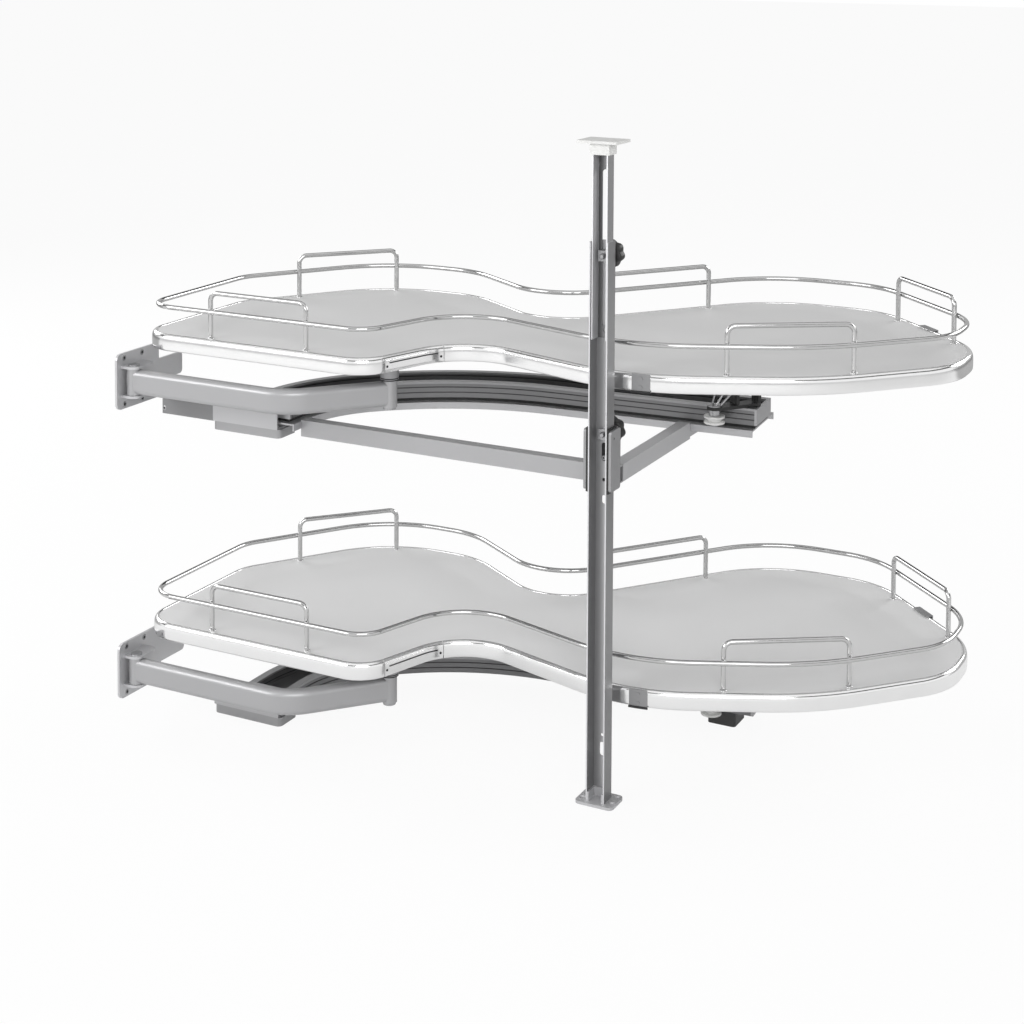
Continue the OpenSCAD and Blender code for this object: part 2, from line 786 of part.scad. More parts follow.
// Upper channel, which slides inside the lower one, with a long slot for the clamp bolt
module post_upper() {
    color("darkgray") at_origin() difference() {
        translate([post_x - inner_w / 2, inner_back - inner_d, inner_low])
            channel(inner_w, inner_d, post_t, unit_h - cap_t - inner_low);
        web_hole(inner_low + slot_ends[0], unit_h - slot_ends[1], bolt_r + 0.5);
        web_hole(inner_low + slot_ends[0] / 2, inner_low + slot_ends[0] / 2, 2);
    }
}

// White cap on the upper channel
module post_cap() {
    half = [24.5, 18.5];
    block_half = post_w / 2 + 0.5;
    color("white") at_origin() {
        translate([post_x, post_y, unit_h - cap_t]) linear_extrude(cap_t) round_rect(-half, half, 2);
        difference() {
            block([post_x - block_half, post_front, unit_h - cap_t - cap_block_h],
                  [post_x + block_half, post_back + 0.5, unit_h - cap_t]);
            translate([post_x - inner_w / 2, inner_back - inner_d, 0])
                channel(inner_w, inner_d, post_t, unit_h);
        }
    }
}

// Foot plate with the socket that the lower channel stands round
module post_foot() {
    half = [23, 17.5];
    socket = post_w / 2 - post_t;
    sink = 1.5;
    color("gainsboro") at_origin() {
        difference() {
            translate([post_x, post_y, 0]) linear_extrude(foot_t) round_rect(-half, half, 6);
            for (x = [-1, 1] * foot_pitch_x / 2, y = [-1, 1] * foot_pitch_y / 2)
                translate([post_x + x, post_y + foot_hole_y + y, -past]) {
                    cylinder(h = foot_t + 2 * past, r = foot_hole_r);
                    translate([0, 0, foot_t + past - sink])
                        cylinder(h = sink, r1 = foot_hole_r, r2 = foot_hole_r + sink);
                }
        }
        difference() {
            block([post_x - socket, post_front, foot_t], [post_x + socket, post_back - post_t, foot_t + 10]);
            block([post_x - socket + 2, post_front - past, foot_t - past],
                  [post_x + socket - 2, post_back - post_t - 2, foot_t + 10 + past]);
        }
    }
}

// U-shaped bracket that holds the base frame to the post
module post_bracket() {
    half = post_w / 2 + liner_t;
    web = post_back + liner_t;
    color("gray") at_origin() difference() {
        union() {
            for (x = [-half - plate_t, half])
                plate_x(post_x + x, plate_t)
                    round_rect([post_front, bracket_z[0]], [web + plate_t, bracket_z[1]], 3);
            block([post_x - half, web, bracket_z[0]], [post_x + half, web + plate_t, bracket_z[1]]);
        }
        along_y(post_x, web - past, bracket_bolt_z, plate_t + 2 * past, bolt_r + 0.25);
        along_x(post_x + half - past, post_front + 8, bracket_z[1] - 9, plate_t + 2 * past, 1.5);
    }
}

// Black liner between the bracket and the post
module bracket_liner() {
    half = post_w / 2;
    color("#202020") at_origin() difference() {
        block([post_x - half - liner_t, post_front, bracket_z[0] - 2],
              [post_x + half + liner_t, post_back + liner_t, bracket_z[1] + 2]);
        block([post_x - half, post_front - past, bracket_z[0] - 2 - past],
              [post_x + half, post_back, bracket_z[1] + 2 + past]);
        along_y(post_x, post_back - past, bracket_bolt_z, liner_t + 2 * past, bolt_r + 0.25);
    }
}

// Lobed clamp knob with its bolt: the knob's front face lies at y, its hub and bolt reach forwards
module clamp_knob(y, z, hub, reach) {
    lobe_r = 0.3 * knob_r;
    color("#181818") at_origin() {
        plate_y(y + hub, knob_t) translate([post_x, z]) {
            circle(knob_r - lobe_r * 0.9);
            for (a = [0 : 360 / 7 : 359]) translate(polar(knob_r - lobe_r, a)) circle(lobe_r);
        }
        if (hub > 0) along_y(post_x, y, z, hub, 7);
        along_y(post_x, y - reach, z, reach, bolt_r);
    }
}

// Square nuts of the two clamps inside the post, each with its back face on a web
module clamp_nuts() {
    nut = [12, 5];
    color("silver") at_origin()
        for (at = [[inner_back - post_t - air, height_bolt_z], [post_back - post_t, bracket_bolt_z]])
            difference() {
                block([post_x - nut[0] / 2, at[0] - nut[1], at[1] - nut[0] / 2],
                      [post_x + nut[0] / 2, at[0], at[1] + nut[0] / 2]);
                along_y(post_x, at[0] - nut[1] - past, at[1], nut[1] + 2 * past, bolt_r + pin_play);
            }
}

board(upper_h);  // upper_board
band(upper_h);  // upper_band
band_joiner(upper_h);  // upper_band_joiner
rail_length(upper_h, left_bends);  // upper_left_rail
rail_length(upper_h, right_bends);  // upper_right_rail
hoops(upper_h);  // upper_hoops
strap(upper_h);  // upper_strap
clip(upper_h);  // upper_clip
pivot_plate(upper_h);  // upper_pivot_plate
pivot_boss(upper_h);  // upper_pivot_boss
pivot_pin(upper_h);  // upper_pivot_pin
roller_carrier(upper_h);  // upper_roller_carrier
roller_axle(upper_h);  // upper_roller_axle
roller(upper_h);  // upper_roller
swing_arm(upper_h);  // upper_arm
wall_hinge(upper_h);  // upper_wall_hinge
hinge_pin(upper_h);  // upper_hinge_pin
guide_rail(upper_h);  // upper_guide_rail
guide_ends(upper_h);  // upper_guide_ends
guide_screws(upper_h);  // upper_guide_screws
front_plate(upper_h);  // upper_front_plate
front_foot(upper_h, foot_low);  // upper_front_foot
board(lower_h);  // lower_board
band(lower_h);  // lower_band
band_joiner(lower_h);  // lower_band_joiner
rail_length(lower_h, left_bends);  // lower_left_rail
rail_length(lower_h, right_bends);  // lower_right_rail
hoops(lower_h);  // lower_hoops
strap(lower_h);  // lower_strap
clip(lower_h);  // lower_clip
pivot_plate(lower_h);  // lower_pivot_plate
pivot_boss(lower_h);  // lower_pivot_boss
pivot_pin(lower_h);  // lower_pivot_pin
roller_carrier(lower_h);  // lower_roller_carrier
roller_axle(lower_h);  // lower_roller_axle
roller(lower_h);  // lower_roller
swing_arm(lower_h);  // lower_arm
wall_hinge(lower_h);  // lower_wall_hinge
hinge_pin(lower_h);  // lower_hinge_pin
guide_rail(lower_h);  // lower_guide_rail
guide_ends(lower_h);  // lower_guide_ends
guide_screws(lower_h);  // lower_guide_screws
front_plate(lower_h);  // lower_front_plate
front_foot(lower_h, -lower_h);  // lower_front_foot
lower_rail_feet();
rail_spacer();
rail_pan();
pan_edges();
left_bar();
right_bar();
extension_bracket();
post_bracket();
bracket_liner();
post_lower();
post_upper();
post_cap();
post_foot();
clamp_knob(post_back + air, height_bolt_z, 4, 14);  // height_knob
clamp_knob(bar_front + air, bracket_bolt_z, 4, 16);  // bracket_knob
clamp_nuts();
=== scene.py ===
import math

import bmesh
import bpy
from mathutils import Matrix, Vector


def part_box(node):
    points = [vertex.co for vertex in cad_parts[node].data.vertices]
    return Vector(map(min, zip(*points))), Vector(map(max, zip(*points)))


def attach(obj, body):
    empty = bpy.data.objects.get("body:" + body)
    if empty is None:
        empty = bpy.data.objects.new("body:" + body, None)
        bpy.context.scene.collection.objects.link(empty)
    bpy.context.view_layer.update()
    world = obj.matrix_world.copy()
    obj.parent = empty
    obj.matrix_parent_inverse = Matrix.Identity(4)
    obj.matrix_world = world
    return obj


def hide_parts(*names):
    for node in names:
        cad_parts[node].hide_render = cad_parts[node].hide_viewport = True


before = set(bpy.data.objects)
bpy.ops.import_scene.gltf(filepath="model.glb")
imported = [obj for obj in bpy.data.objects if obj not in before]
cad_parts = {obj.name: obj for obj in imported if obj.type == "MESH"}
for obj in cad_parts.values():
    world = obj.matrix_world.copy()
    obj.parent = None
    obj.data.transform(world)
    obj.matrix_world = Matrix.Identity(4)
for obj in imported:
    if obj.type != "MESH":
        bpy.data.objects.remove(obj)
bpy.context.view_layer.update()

# ---- Camera ----------------------------------------------------------------------------------------
# The view is from the unit's right front, about a metre up, with the lens looking almost level. The
# frame is a low crop of that view, so the lens is shifted down as far as that crop needs.
MM = 0.001
SENSOR = 36.0
FRAME_PX = 1024
focal_px = 1896.3
centre_px = (509.6, 35.4)
camera_at = Vector((860.0, -1883.5, 986.1)) * MM
pitch_down = math.radians(3.52)
roll = math.radians(0.243)
level_ahead = Vector((-0.4604, 0.8877, 0.0)).normalized()
level_right = Vector((level_ahead.y, -level_ahead.x, 0.0))
ahead = level_ahead * math.cos(pitch_down) - Vector((0, 0, math.sin(pitch_down)))
level_up = level_right.cross(ahead)
right = level_right * math.cos(roll) + level_up * math.sin(roll)
up = right.cross(ahead)

camera_data = bpy.data.cameras.new("camera")
camera_data.sensor_width = SENSOR
camera_data.lens = focal_px * SENSOR / FRAME_PX
camera_data.shift_x = (FRAME_PX / 2 - centre_px[0]) / FRAME_PX
camera_data.shift_y = (centre_px[1] - FRAME_PX / 2) / FRAME_PX
camera_data.clip_end = 60
camera = bpy.data.objects.new("camera", camera_data)
camera.matrix_world = Matrix.Translation(camera_at) @ Matrix((right, up, -ahead)).transposed().to_4x4()
bpy.context.scene.collection.objects.link(camera)
bpy.context.scene.camera = camera
bpy.context.scene.view_settings.view_transform = "Standard"


# ---- Studio ----------------------------------------------------------------------------------------
# A pale floor, a white surround, and four large soft lamps: two in front, one at the left and one at the
# back. Polished metal also mirrors two dark screens, one in a ring overhead and one behind the unit.
# Finishes are built here for the first time, so their classes follow.
class Signal:
    """A socket of a finish's nodes, which takes part in sums as a number does."""

    def __init__(self, finish, socket):
        self.finish = finish
        self.socket = socket

    def maths(self, operation, *terms):
        return self.finish.node("ShaderNodeMath", {"operation": operation}, dict(enumerate(terms)))

    def __add__(self, other):
        return self.maths("ADD", self, other)

    def __sub__(self, other):
        return self.maths("SUBTRACT", self, other)

    def __rsub__(self, other):
        return self.maths("SUBTRACT", other, self)

    def __mul__(self, other):
        return self.maths("MULTIPLY", self, other)

    __radd__ = __add__
    __rmul__ = __mul__


class Nodes:
    """The nodes of a material or of the surround."""

    def __init__(self, tree):
        self.tree = tree

    def node(self, kind, settings=None, sockets=None, output=0):
        """Adds a node: its settings come first, then the values or links of its sockets."""
        made = self.tree.nodes.new(kind)
        for name, value in (settings or {}).items():
            setattr(made, name, value)
        for key, value in (sockets or {}).items():
            self.fill(made.inputs[key], value)
        return Signal(self, made.outputs[output])

    def fill(self, socket, value):
        if isinstance(value, Signal):
            self.tree.links.new(value.socket, socket)
        else:
            socket.default_value = value

    def place(self, stretch=(1, 1, 1)):
        """Position on the piece in metres, stretched along each axis."""
        here = self.node("ShaderNodeTexCoord", output="Object")
        return self.node("ShaderNodeVectorMath", {"operation": "MULTIPLY"}, {0: here, 1: stretch})

    def noise(self, scale, detail=3.0, rough=0.5, stretch=(1, 1, 1)):
        sockets = {"Vector": self.place(stretch), "Scale": scale, "Detail": detail, "Roughness": rough}
        return self.node("ShaderNodeTexNoise", {}, sockets, "Fac")

    def band(self, value, low, high, to_low=0.0, to_high=1.0):
        """Value brought from low..high to to_low..to_high, smoothly and without going past them."""
        sockets = {0: value, 1: low, 2: high, 3: to_low, 4: to_high}
        return self.node("ShaderNodeMapRange", {"interpolation_type": "SMOOTHSTEP"}, sockets)

    def blend(self, a, b, amount):
        return self.node("ShaderNodeMix", {"data_type": "RGBA"}, {0: amount, 6: a, 7: b}, 2)

    def glow(self, strength):
        return self.node("ShaderNodeEmission", {}, {"Color": grey(1.0), "Strength": strength})

    def mix_looks(self, share, first, second):
        return self.node("ShaderNodeMixShader", {}, {0: share, 1: first, 2: second})

    def bump(self, height, distance, strength):
        return self.node("ShaderNodeBump", {}, {"Height": height, "Distance": distance, "Strength": strength})


class Finish(Nodes):
    """A material with its nodes; fixed values are set on the surface's own sockets."""

    def __init__(self, name, **fixed):
        self.material = bpy.data.materials.new(name)
        self.material.use_nodes = True
        super().__init__(self.material.node_tree)
        self.surface = self.tree.nodes["Principled BSDF"]
        for socket, value in fixed.items():
            self.surface.inputs[socket.replace("_", " ").title()].default_value = value

    def feed(self, **signals):
        for socket, value in signals.items():
            self.fill(self.surface.inputs[socket.replace("_", " ").title()], value)


def grey(level, tint=(1.0, 1.0, 1.0)):
    """Neutral colour of the given linear level, with a slight tint."""
    return (level * tint[0], level * tint[1], level * tint[2], 1.0)


FLOOR_HALF = 20.0
floor_corners = [(x * FLOOR_HALF, y * FLOOR_HALF, 0) for x, y in ((-1, -1), (1, -1), (1, 1), (-1, 1))]
floor_mesh = bpy.data.meshes.new("studio_floor")
floor_mesh.from_pydata(floor_corners, [], [(0, 1, 2, 3)])
floor = bpy.data.objects.new("studio_floor", floor_mesh)
bpy.context.scene.collection.objects.link(floor)
floor_finish = Finish("studio_floor", roughness=0.9)
floor_finish.feed(base_color=floor_finish.blend(grey(0.86), grey(0.90), floor_finish.noise(2.0)))


def light_path(nodes):
    """Two signals: 1 where the camera sees a surface itself, and 1 where a gloss mirrors it."""
    return [nodes.node("ShaderNodeLightPath", output=name) for name in ("Is Camera Ray", "Is Glossy Ray")]


def towards_back(nodes, vector):
    """How far a point or direction lies towards the back of the studio."""
    sockets = {0: vector, 1: level_ahead}
    return nodes.node("ShaderNodeVectorMath", {"operation": "DOT_PRODUCT"}, sockets, "Value")


BACK_STARTS, BACK_FULL = 0.35, 0.75
floor_seen, floor_mirrored = light_path(floor_finish)
depth = towards_back(floor_finish, floor_finish.place())
far_floor = floor_finish.band(depth, BACK_STARTS, BACK_FULL) * floor_mirrored
glow_share = floor_seen * 0.93 + floor_mirrored * 0.35
lit = Signal(floor_finish, floor_finish.surface.outputs[0])
near_look = floor_finish.mix_looks(glow_share, lit, floor_finish.glow(1.0))
floor_look = floor_finish.mix_looks(far_floor * 0.55, near_look, floor_finish.glow(0.0))
floor_finish.fill(floor_finish.tree.nodes["Material Output"].inputs["Surface"], floor_look)
floor.data.materials.append(floor_finish.material)

world = bpy.data.worlds.new("studio")
bpy.context.scene.world = world
world.use_nodes = True
around = Nodes(world.node_tree)
direction = around.node("ShaderNodeTexCoord", output="Generated")
height = around.node("ShaderNodeSeparateXYZ", {}, {0: direction}, "Z")
dark_ring = around.band(height, 0.36, 0.40) * (1 - around.band(height, 0.58, 0.64))
dark_back = around.band(towards_back(around, direction), 0.05, 0.30)
seen, mirrored = light_path(around)
bright_share = (1 - dark_ring * 0.92) * (1 - dark_back * 0.45)
level = seen + mirrored * bright_share * 0.98 + (1 - seen - mirrored) * 0.40
around.fill(around.tree.nodes["Background"].inputs["Strength"], level)
around.fill(around.tree.nodes["Background"].inputs["Color"], grey(1.0))


def softbox(name, at, aim, size, power):
    """Rectangular lamp at a place in metres, turned towards aim."""
    data = bpy.data.lights.new(name, "AREA")
    data.shape = "RECTANGLE"
    data.size, data.size_y = size
    data.energy = power
    lamp = bpy.data.objects.new(name, data)
    lamp.location = at
    lamp.rotation_euler = (aim - at).to_track_quat("-Z", "Y").to_euler()
    bpy.context.scene.collection.objects.link(lamp)


middle = Vector((0.0, 0.1, 0.3))
lamp_away = 3.0
lamp_rise = 0.42
lamp_size = (1.9, 1.1)
lamps = (("front_right", -62, 34), ("front_left", -128, 36), ("left", 165, 34), ("back", 60, 36))
for name, turn, power in lamps:
    way = Vector((math.cos(math.radians(turn)), math.sin(math.radians(turn)), lamp_rise))
    softbox("lamp_" + name, middle + way * lamp_away, middle, lamp_size, power)

# ---- Post ------------------------------------------------------------------------------------------
# The post is folded from sheet steel in two channels, the upper sliding inside the lower. Both have a
# grey satin coat; holes and slots are punched through the web at the back.
def paint(finish, *nodes):
    """Gives the frame's own pieces a finish."""
    for node in nodes:
        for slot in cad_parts[node].material_slots:
            slot.material = finish.material


COOL = (1.0, 1.0, 1.02)
UPRIGHT = (1, 1, 0.08)
WEB_FRONT = 7.0


def coat(name, level, roughness=0.36, metallic=0.55, fleck=0.06, grain=(1, 1, 1), shade=None):
    """Satin metallic coat on steel: fine flecks of lighter pigment and a slight orange-peel surface."""
    made = Finish(name)
    flecks = made.noise(2600, 2, 0.6, grain)
    clouds = made.noise(22, 3, 0.5)
    dark, light = grey(level * (1 - fleck), COOL), grey(level * (1 + fleck), COOL)
    colour = made.blend(dark, light, flecks * 0.7 + clouds * 0.3)
    # shade, where given, scales the colour: it paints light and shade into it.
    if shade:
        colour = made.node("ShaderNodeVectorMath", {"operation": "SCALE"}, {0: colour, "Scale": shade(made)})
    made.feed(
        base_color=colour,
        metallic=made.band(clouds, 0.3, 0.7, metallic - 0.04, metallic + 0.04),
        roughness=made.band(flecks, 0.3, 0.7, roughness - 0.04, roughness + 0.05),
        normal=made.bump(made.noise(900, 2, 0.5) + flecks * 0.3, 0.00004, 0.5),
    )
    return made


def channel_shade(wall, web_front, lip, left_wall_shading, web_shading):
    """Painted light and shade inside a channel: a tone for its left wall, shading across its web from left to
    right, and a painted highlight on its front edges.
    """
    near = 0.05 * MM
    edge_highlight = 1.7

    def shade(made):
        x, y = (made.node("ShaderNodeSeparateXYZ", {}, {0: made.place()}, axis) for axis in "XY")

        def right_of(place):
            return made.band(x, place, place + near)

        inside = right_of(-wall + near) * (1 - right_of(wall - 2 * near))
        web = inside * (1 - made.band(y, web_front + near, web_front + 4 * near))
        left = right_of(-wall - 2 * near) * (1 - right_of(-wall + near))
        edges = 1 - made.band(y, lip + near / 2, lip + 2 * near)
        across = made.band(x, -wall, wall, *web_shading)
        return 1 + web * (across - 1) + left * (1 - edges) * (left_wall_shading - 1) + edges * edge_highlight

    return shade


# Painted shade inside each channel: the web darker at the left and lighter at the right, the slider's left
# wall lighter, and a painted highlight along the front edges.
lower_shade = channel_shade(9.75 * MM, WEB_FRONT * MM, -11.5 * MM, 1.0, (1.15, 3.0))
upper_shade = channel_shade(7.95 * MM, 5.2 * MM, -9.5 * MM, 2.0, (0.22, 1.75))
paint(coat("post_coat", 0.27, grain=UPRIGHT, shade=lower_shade), "post_lower")
paint(coat("slider_coat", 0.34, grain=UPRIGHT, shade=upper_shade), "post_upper")

# ---- Post foot and bracket -------------------------------------------------------------------------
# The foot is a light die casting with a socket for the post. A folded bracket clamps the base frame to
# the post over a black plastic liner.
paint(coat("foot_casting", 0.56, roughness=0.5, metallic=0.35, fleck=0.04), "post_foot")
paint(coat("bracket_coat", 0.36), "post_bracket")


def plastic(name, level, tint=(1.0, 1.0, 1.0), roughness=0.5):
    """Moulded plastic with a fine spark-eroded grain and slight mottling."""
    made = Finish(name)
    clouds = made.noise(60, 3, 0.5)
    made.feed(
        base_color=made.blend(grey(level * 0.93, tint), grey(level * 1.05, tint), clouds),
        roughness=made.band(clouds, 0.3, 0.7, roughness - 0.05, roughness + 0.05),
        normal=made.bump(made.noise(1400, 2, 0.5), 0.00003, 0.6),
    )
    return made


black_plastic = plastic("black_plastic", 0.016)
paint(black_plastic, "bracket_liner")
WARM = (1.0, 1.0, 0.985)
paint(plastic("white_plastic", 0.78, WARM, 0.42), "post_cap")

# ---- Clamp knobs -----------------------------------------------------------------------------------
# Two black lobed knobs behind the post, moulded round steel bolts. One clamps the slider, the other the
# bracket; each pulls on a square nut inside the post. A third screw's end shows in the slot below.
POST_X, POST_Y = 590.0, 68.5


def spot(x, y, z):
    """Point in metres, from millimetres that run from the unit's left front and from the floor."""
    return Vector((x - POST_X, y - POST_Y, z)) * MM


def ring_skin(bm, rings, closed=False):
    """Skins rings of points that all have the same count; the last joins the first, or both are capped."""
    made = [[bm.verts.new(point) for point in ring] for ring in rings]
    for i in range(len(made) if closed else len(made) - 1):
        a, b = made[i], made[(i + 1) % len(made)]
        for k in range(len(a)):
            n = (k + 1) % len(a)
            bm.faces.new((a[k], a[n], b[n], b[k]))
    if not closed:
        bm.faces.new(made[0][::-1])
        bm.faces.new(made[-1])


def keep(name, bm, finish, body, nodes=(), crease=40):
    """Makes a piece of the mesh: it rides on a body, and stands for the named nodes of the frame."""
    bmesh.ops.recalc_face_normals(bm, faces=bm.faces)
    mesh = bpy.data.meshes.new(name)
    bm.to_mesh(mesh)
    bm.free()
    mesh.shade_smooth()
    mesh.set_sharp_from_angle(angle=math.radians(crease))
    made = bpy.data.objects.new(name, mesh)
    bpy.context.scene.collection.objects.link(made)
    mesh.materials.append(finish.material)
    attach(made, body)
    if nodes:
        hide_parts(*nodes)


def lathe(bm, foot, axis, profile, steps=32):
    """Turned shape round an axis from foot: profile is pairs of radius and distance, in millimetres."""
    axis = Vector(axis).normalized()
    side = axis.orthogonal().normalized()
    other = axis.cross(side)
    turn = [2 * math.pi * k / steps for k in range(steps)]
    round_axis = [side * math.cos(a) + other * math.sin(a) for a in turn]
    rings = [[foot + (axis * along + way * radius) * MM for way in round_axis] for radius, along in profile]
    ring_skin(bm, rings)


steel = coat("plain_steel", 0.42, roughness=0.28, metallic=0.95, fleck=0.05)
paint(steel, "clamp_nuts")

GRIP_T = 14.0
HUB_T = 4.0
LOBES = 7
LOBE_DEPTH = 0.13
GRIP_STEPS = 140
THREAD_R, THREAD_DEPTH, THREAD_PITCH = 3.0, 0.35, 0.5
for name, body in (("height_knob", "height_clamp"), ("bracket_knob", "bracket_clamp")):
    low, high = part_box(name)
    axis_at = Vector(((low.x + high.x) / 2, high.y, (low.z + high.z) / 2))
    reach = (high.z - low.z) / 2 / MM
    bm = bmesh.new()
    layers = (
        (0.55, 0.0), (0.88, 0.0), (0.96, 0.7), (1.0, 2.0), (1.0, 10.6), (0.975, 12.2), (0.92, 13.3),
        (0.84, 13.9), (0.58, GRIP_T), (0.50, 13.4), (0.46, 12.4),
    )
    rings = []
    for share, depth in layers:
        ring = []
        for k in range(GRIP_STEPS):
            a = 2 * math.pi * k / GRIP_STEPS
            lobe = abs(math.cos(LOBES / 2 * a)) ** 1.5 if share > 0.6 else 1.0
            r = reach * share * (1 - LOBE_DEPTH + LOBE_DEPTH * lobe)
            ring.append(axis_at + Vector((r * math.sin(a), depth - GRIP_T, r * math.cos(a))) * MM)
        rings.append(ring)
    ring_skin(bm, rings)
    keep(name + "_grip", bm, black_plastic, body, [name])
    bm = bmesh.new()
    shank = (axis_at.y - low.y) / MM - GRIP_T
    crests = range(1, int(shank / THREAD_PITCH) - 1)
    thread = [(THREAD_R - THREAD_DEPTH * (k % 2), THREAD_PITCH * k) for k in crests]
    lathe(bm, Vector((axis_at.x, low.y, axis_at.z)), (0, 1, 0), [(2.2, 0.0), *thread, (THREAD_R, shank)], 24)
    keep(name + "_bolt", bm, steel, body)
    bm = bmesh.new()
    hub = axis_at - Vector((0, GRIP_T * MM, 0))
    lathe(bm, hub, (0, -1, 0), [(6.9, 0.0), (6.9, HUB_T - 0.4), (6.4, HUB_T)], 32)
    keep(name + "_hub", bm, black_plastic, body)

SLOT_SCREW_Z = 389.0
slot_screw = Vector((0.0, WEB_FRONT, SLOT_SCREW_Z)) * MM
bm = bmesh.new()
lathe(bm, slot_screw, (0, -1, 0), [(2.7, -0.6), (2.7, 1.4), (2.2, 1.9), (1.3, 1.9), (1.2, 0.4)], 24)
keep("slot_screw", bm, steel, "frame")
# The screw's recess holds a dark plug: painted shade in it.
bm = bmesh.new()
lathe(bm, slot_screw, (0, -1, 0), [(1.25, 0.0), (1.25, 0.9), (0.6, 0.9)], 16)
keep("slot_screw_recess", bm, black_plastic, "frame")

# ---- Base frame ------------------------------------------------------------------------------------
# Two box-section bars, a front plate with a low foot and a sheet pan under the rail, all of steel with a
# silver-grey satin coat. A flat bracket slides out of the front plate to the cabinet's side.
# The one coat has a different level on each piece: lit and shaded copies, each painted lighter or darker for
# how the light falls on it.
paint(coat("bar_coat", 0.44, grain=(0.06, 1, 1)), "left_bar")
paint(coat("side_bar_coat", 0.60, grain=(1, 0.06, 1)), "right_bar")
paint(coat("pan_coat", 0.50, fleck=0.04), "rail_pan", "pan_edges")
paint(coat("plate_coat", 0.54, grain=(0.3, 1, 1)), "upper_front_plate", "lower_front_plate")
paint(coat("foot_coat", 0.40), "upper_front_foot", "lower_front_foot")
paint(coat("bracket_slide_coat", 0.26, grain=(0.3, 1, 1)), "extension_bracket")
paint(black_plastic, "rail_spacer")
paint(plastic("grey_plastic", 0.06), "lower_rail_feet")

# ---- Guide rails -----------------------------------------------------------------------------------
# The rails are bent from an aluminium channel with a dark grey satin coat, closed by pale plates at both
# ends and screwed down through their floor.
TIERS = {"upper": 484.0, "lower": 127.0}
GUIDE_DOWN = 104.0
GROOVES = ((6.0, 7.2), (12.6, 13.8))
LIP = (17.2, 17.6)
# Painted highlight on the lip and painted shade in the grooves.
LIP_HIGHLIGHT, GROOVE_SHADE = 0.7, 0.65


def rail_shade(base):
    """Painted light and shade on a rail whose underside is at base: painted shade in its two grooves, a
    painted highlight on its lip.
    """

    def shade(made):
        level = made.node("ShaderNodeSeparateXYZ", {}, {0: made.place()}, "Z")
        grooves = 0
        for low, high in GROOVES:
            start = made.band(level, (base + low - 0.2) * MM, (base + low) * MM)
            stop = made.band(level, (base + high) * MM, (base + high + 0.2) * MM)
            grooves = start * (1 - stop) + grooves
        lip = made.band(level, (base + LIP[0]) * MM, (base + LIP[1]) * MM)
        return 1 + lip * LIP_HIGHLIGHT - grooves * GROOVE_SHADE

    return shade


for tier, height in TIERS.items():
    rail_painted_shade = rail_shade(height - GUIDE_DOWN)
    rail_coat = coat(f"{tier}_rail_coat", 0.22, roughness=0.32, metallic=0.6, shade=rail_painted_shade)
    paint(rail_coat, f"{tier}_guide_rail")
paint(coat("end_plate_coat", 0.46, fleck=0.04), "upper_guide_ends", "lower_guide_ends")
paint(steel, "upper_guide_screws", "lower_guide_screws")

# ---- Wall hinges -----------------------------------------------------------------------------------
# Each arm hangs on a pressed wall plate with two ears, screwed to the cabinet's side. The plates have the
# same silver-grey satin coat as the arms; the pins are turned steel. One more screw sits in the bracket.
# The plates' coat is a lighter copy of the arms' coat below, painted lighter for how the light falls on the
# plates.
paint(coat("hinge_coat", 0.60), "upper_wall_hinge", "lower_wall_hinge")
paint(coat("pin_head", 0.40, roughness=0.3, metallic=0.8), "upper_hinge_pin", "lower_hinge_pin")


def screw_head(ring_bm, recess_bm, at, axis, radius):
    """Countersunk screw head, proud of the sheet by half a millimetre, with a dark plug in its recess:
    painted shade.
    """
    rim = radius * 0.52
    head = [(radius, -0.6), (radius, 0.1), (radius * 0.8, 0.5), (rim, 0.45), (radius * 0.5, -0.6)]
    lathe(ring_bm, at, axis, head, 24)
    lathe(recess_bm, at, axis, [(rim, -0.8), (rim, 0.1), (radius * 0.3, 0.0)], 16)


# A dark coat for the joiner's rivets, and painted shade in the screw recesses, along the joiner's crease and
# under the strap.
dark_steel_and_painted_shade = coat("dark_steel_and_painted_shade", 0.05, roughness=0.4, metallic=0.8)
HINGE_PLATE_X, HINGE_DOWN = -6.0, 58.5
HINGE_SCREW_Y, HINGE_SCREW_Z = 17.0, 28.5
EXTENSION_HOLE_IN, EXTENSION_HOLE_Z = 3.0, 373.5
for tier, height in TIERS.items():
    rings, recesses = bmesh.new(), bmesh.new()
    for y in (-HINGE_SCREW_Y, HINGE_SCREW_Y):
        for z in (-HINGE_SCREW_Z, HINGE_SCREW_Z):
            screw_head(rings, recesses, spot(HINGE_PLATE_X, y, height - HINGE_DOWN + z), (1, 0, 0), 3.6)
    keep(f"{tier}_hinge_screws", rings, steel, "frame")
    keep(f"{tier}_hinge_recesses", recesses, dark_steel_and_painted_shade, "frame")
rings, recesses = bmesh.new(), bmesh.new()
bracket_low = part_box("extension_bracket")[0]
hole_at = Vector((bracket_low.x + EXTENSION_HOLE_IN * MM, bracket_low.y, EXTENSION_HOLE_Z * MM))
screw_head(rings, recesses, hole_at, (0, -1, 0), 2.8)
keep("extension_screw", rings, steel, "side_extension")
keep("extension_recess", recesses, dark_steel_and_painted_shade, "side_extension")

# ---- Swing arms ------------------------------------------------------------------------------------
# Each tray hangs on a bent steel bar of rounded section, with a barrel welded to each end. The smooth
# silver-grey satin coat is finer than on the base frame.
paint(coat("arm_coat", 0.43, roughness=0.38, metallic=0.45, fleck=0.035), "upper_arm", "lower_arm")

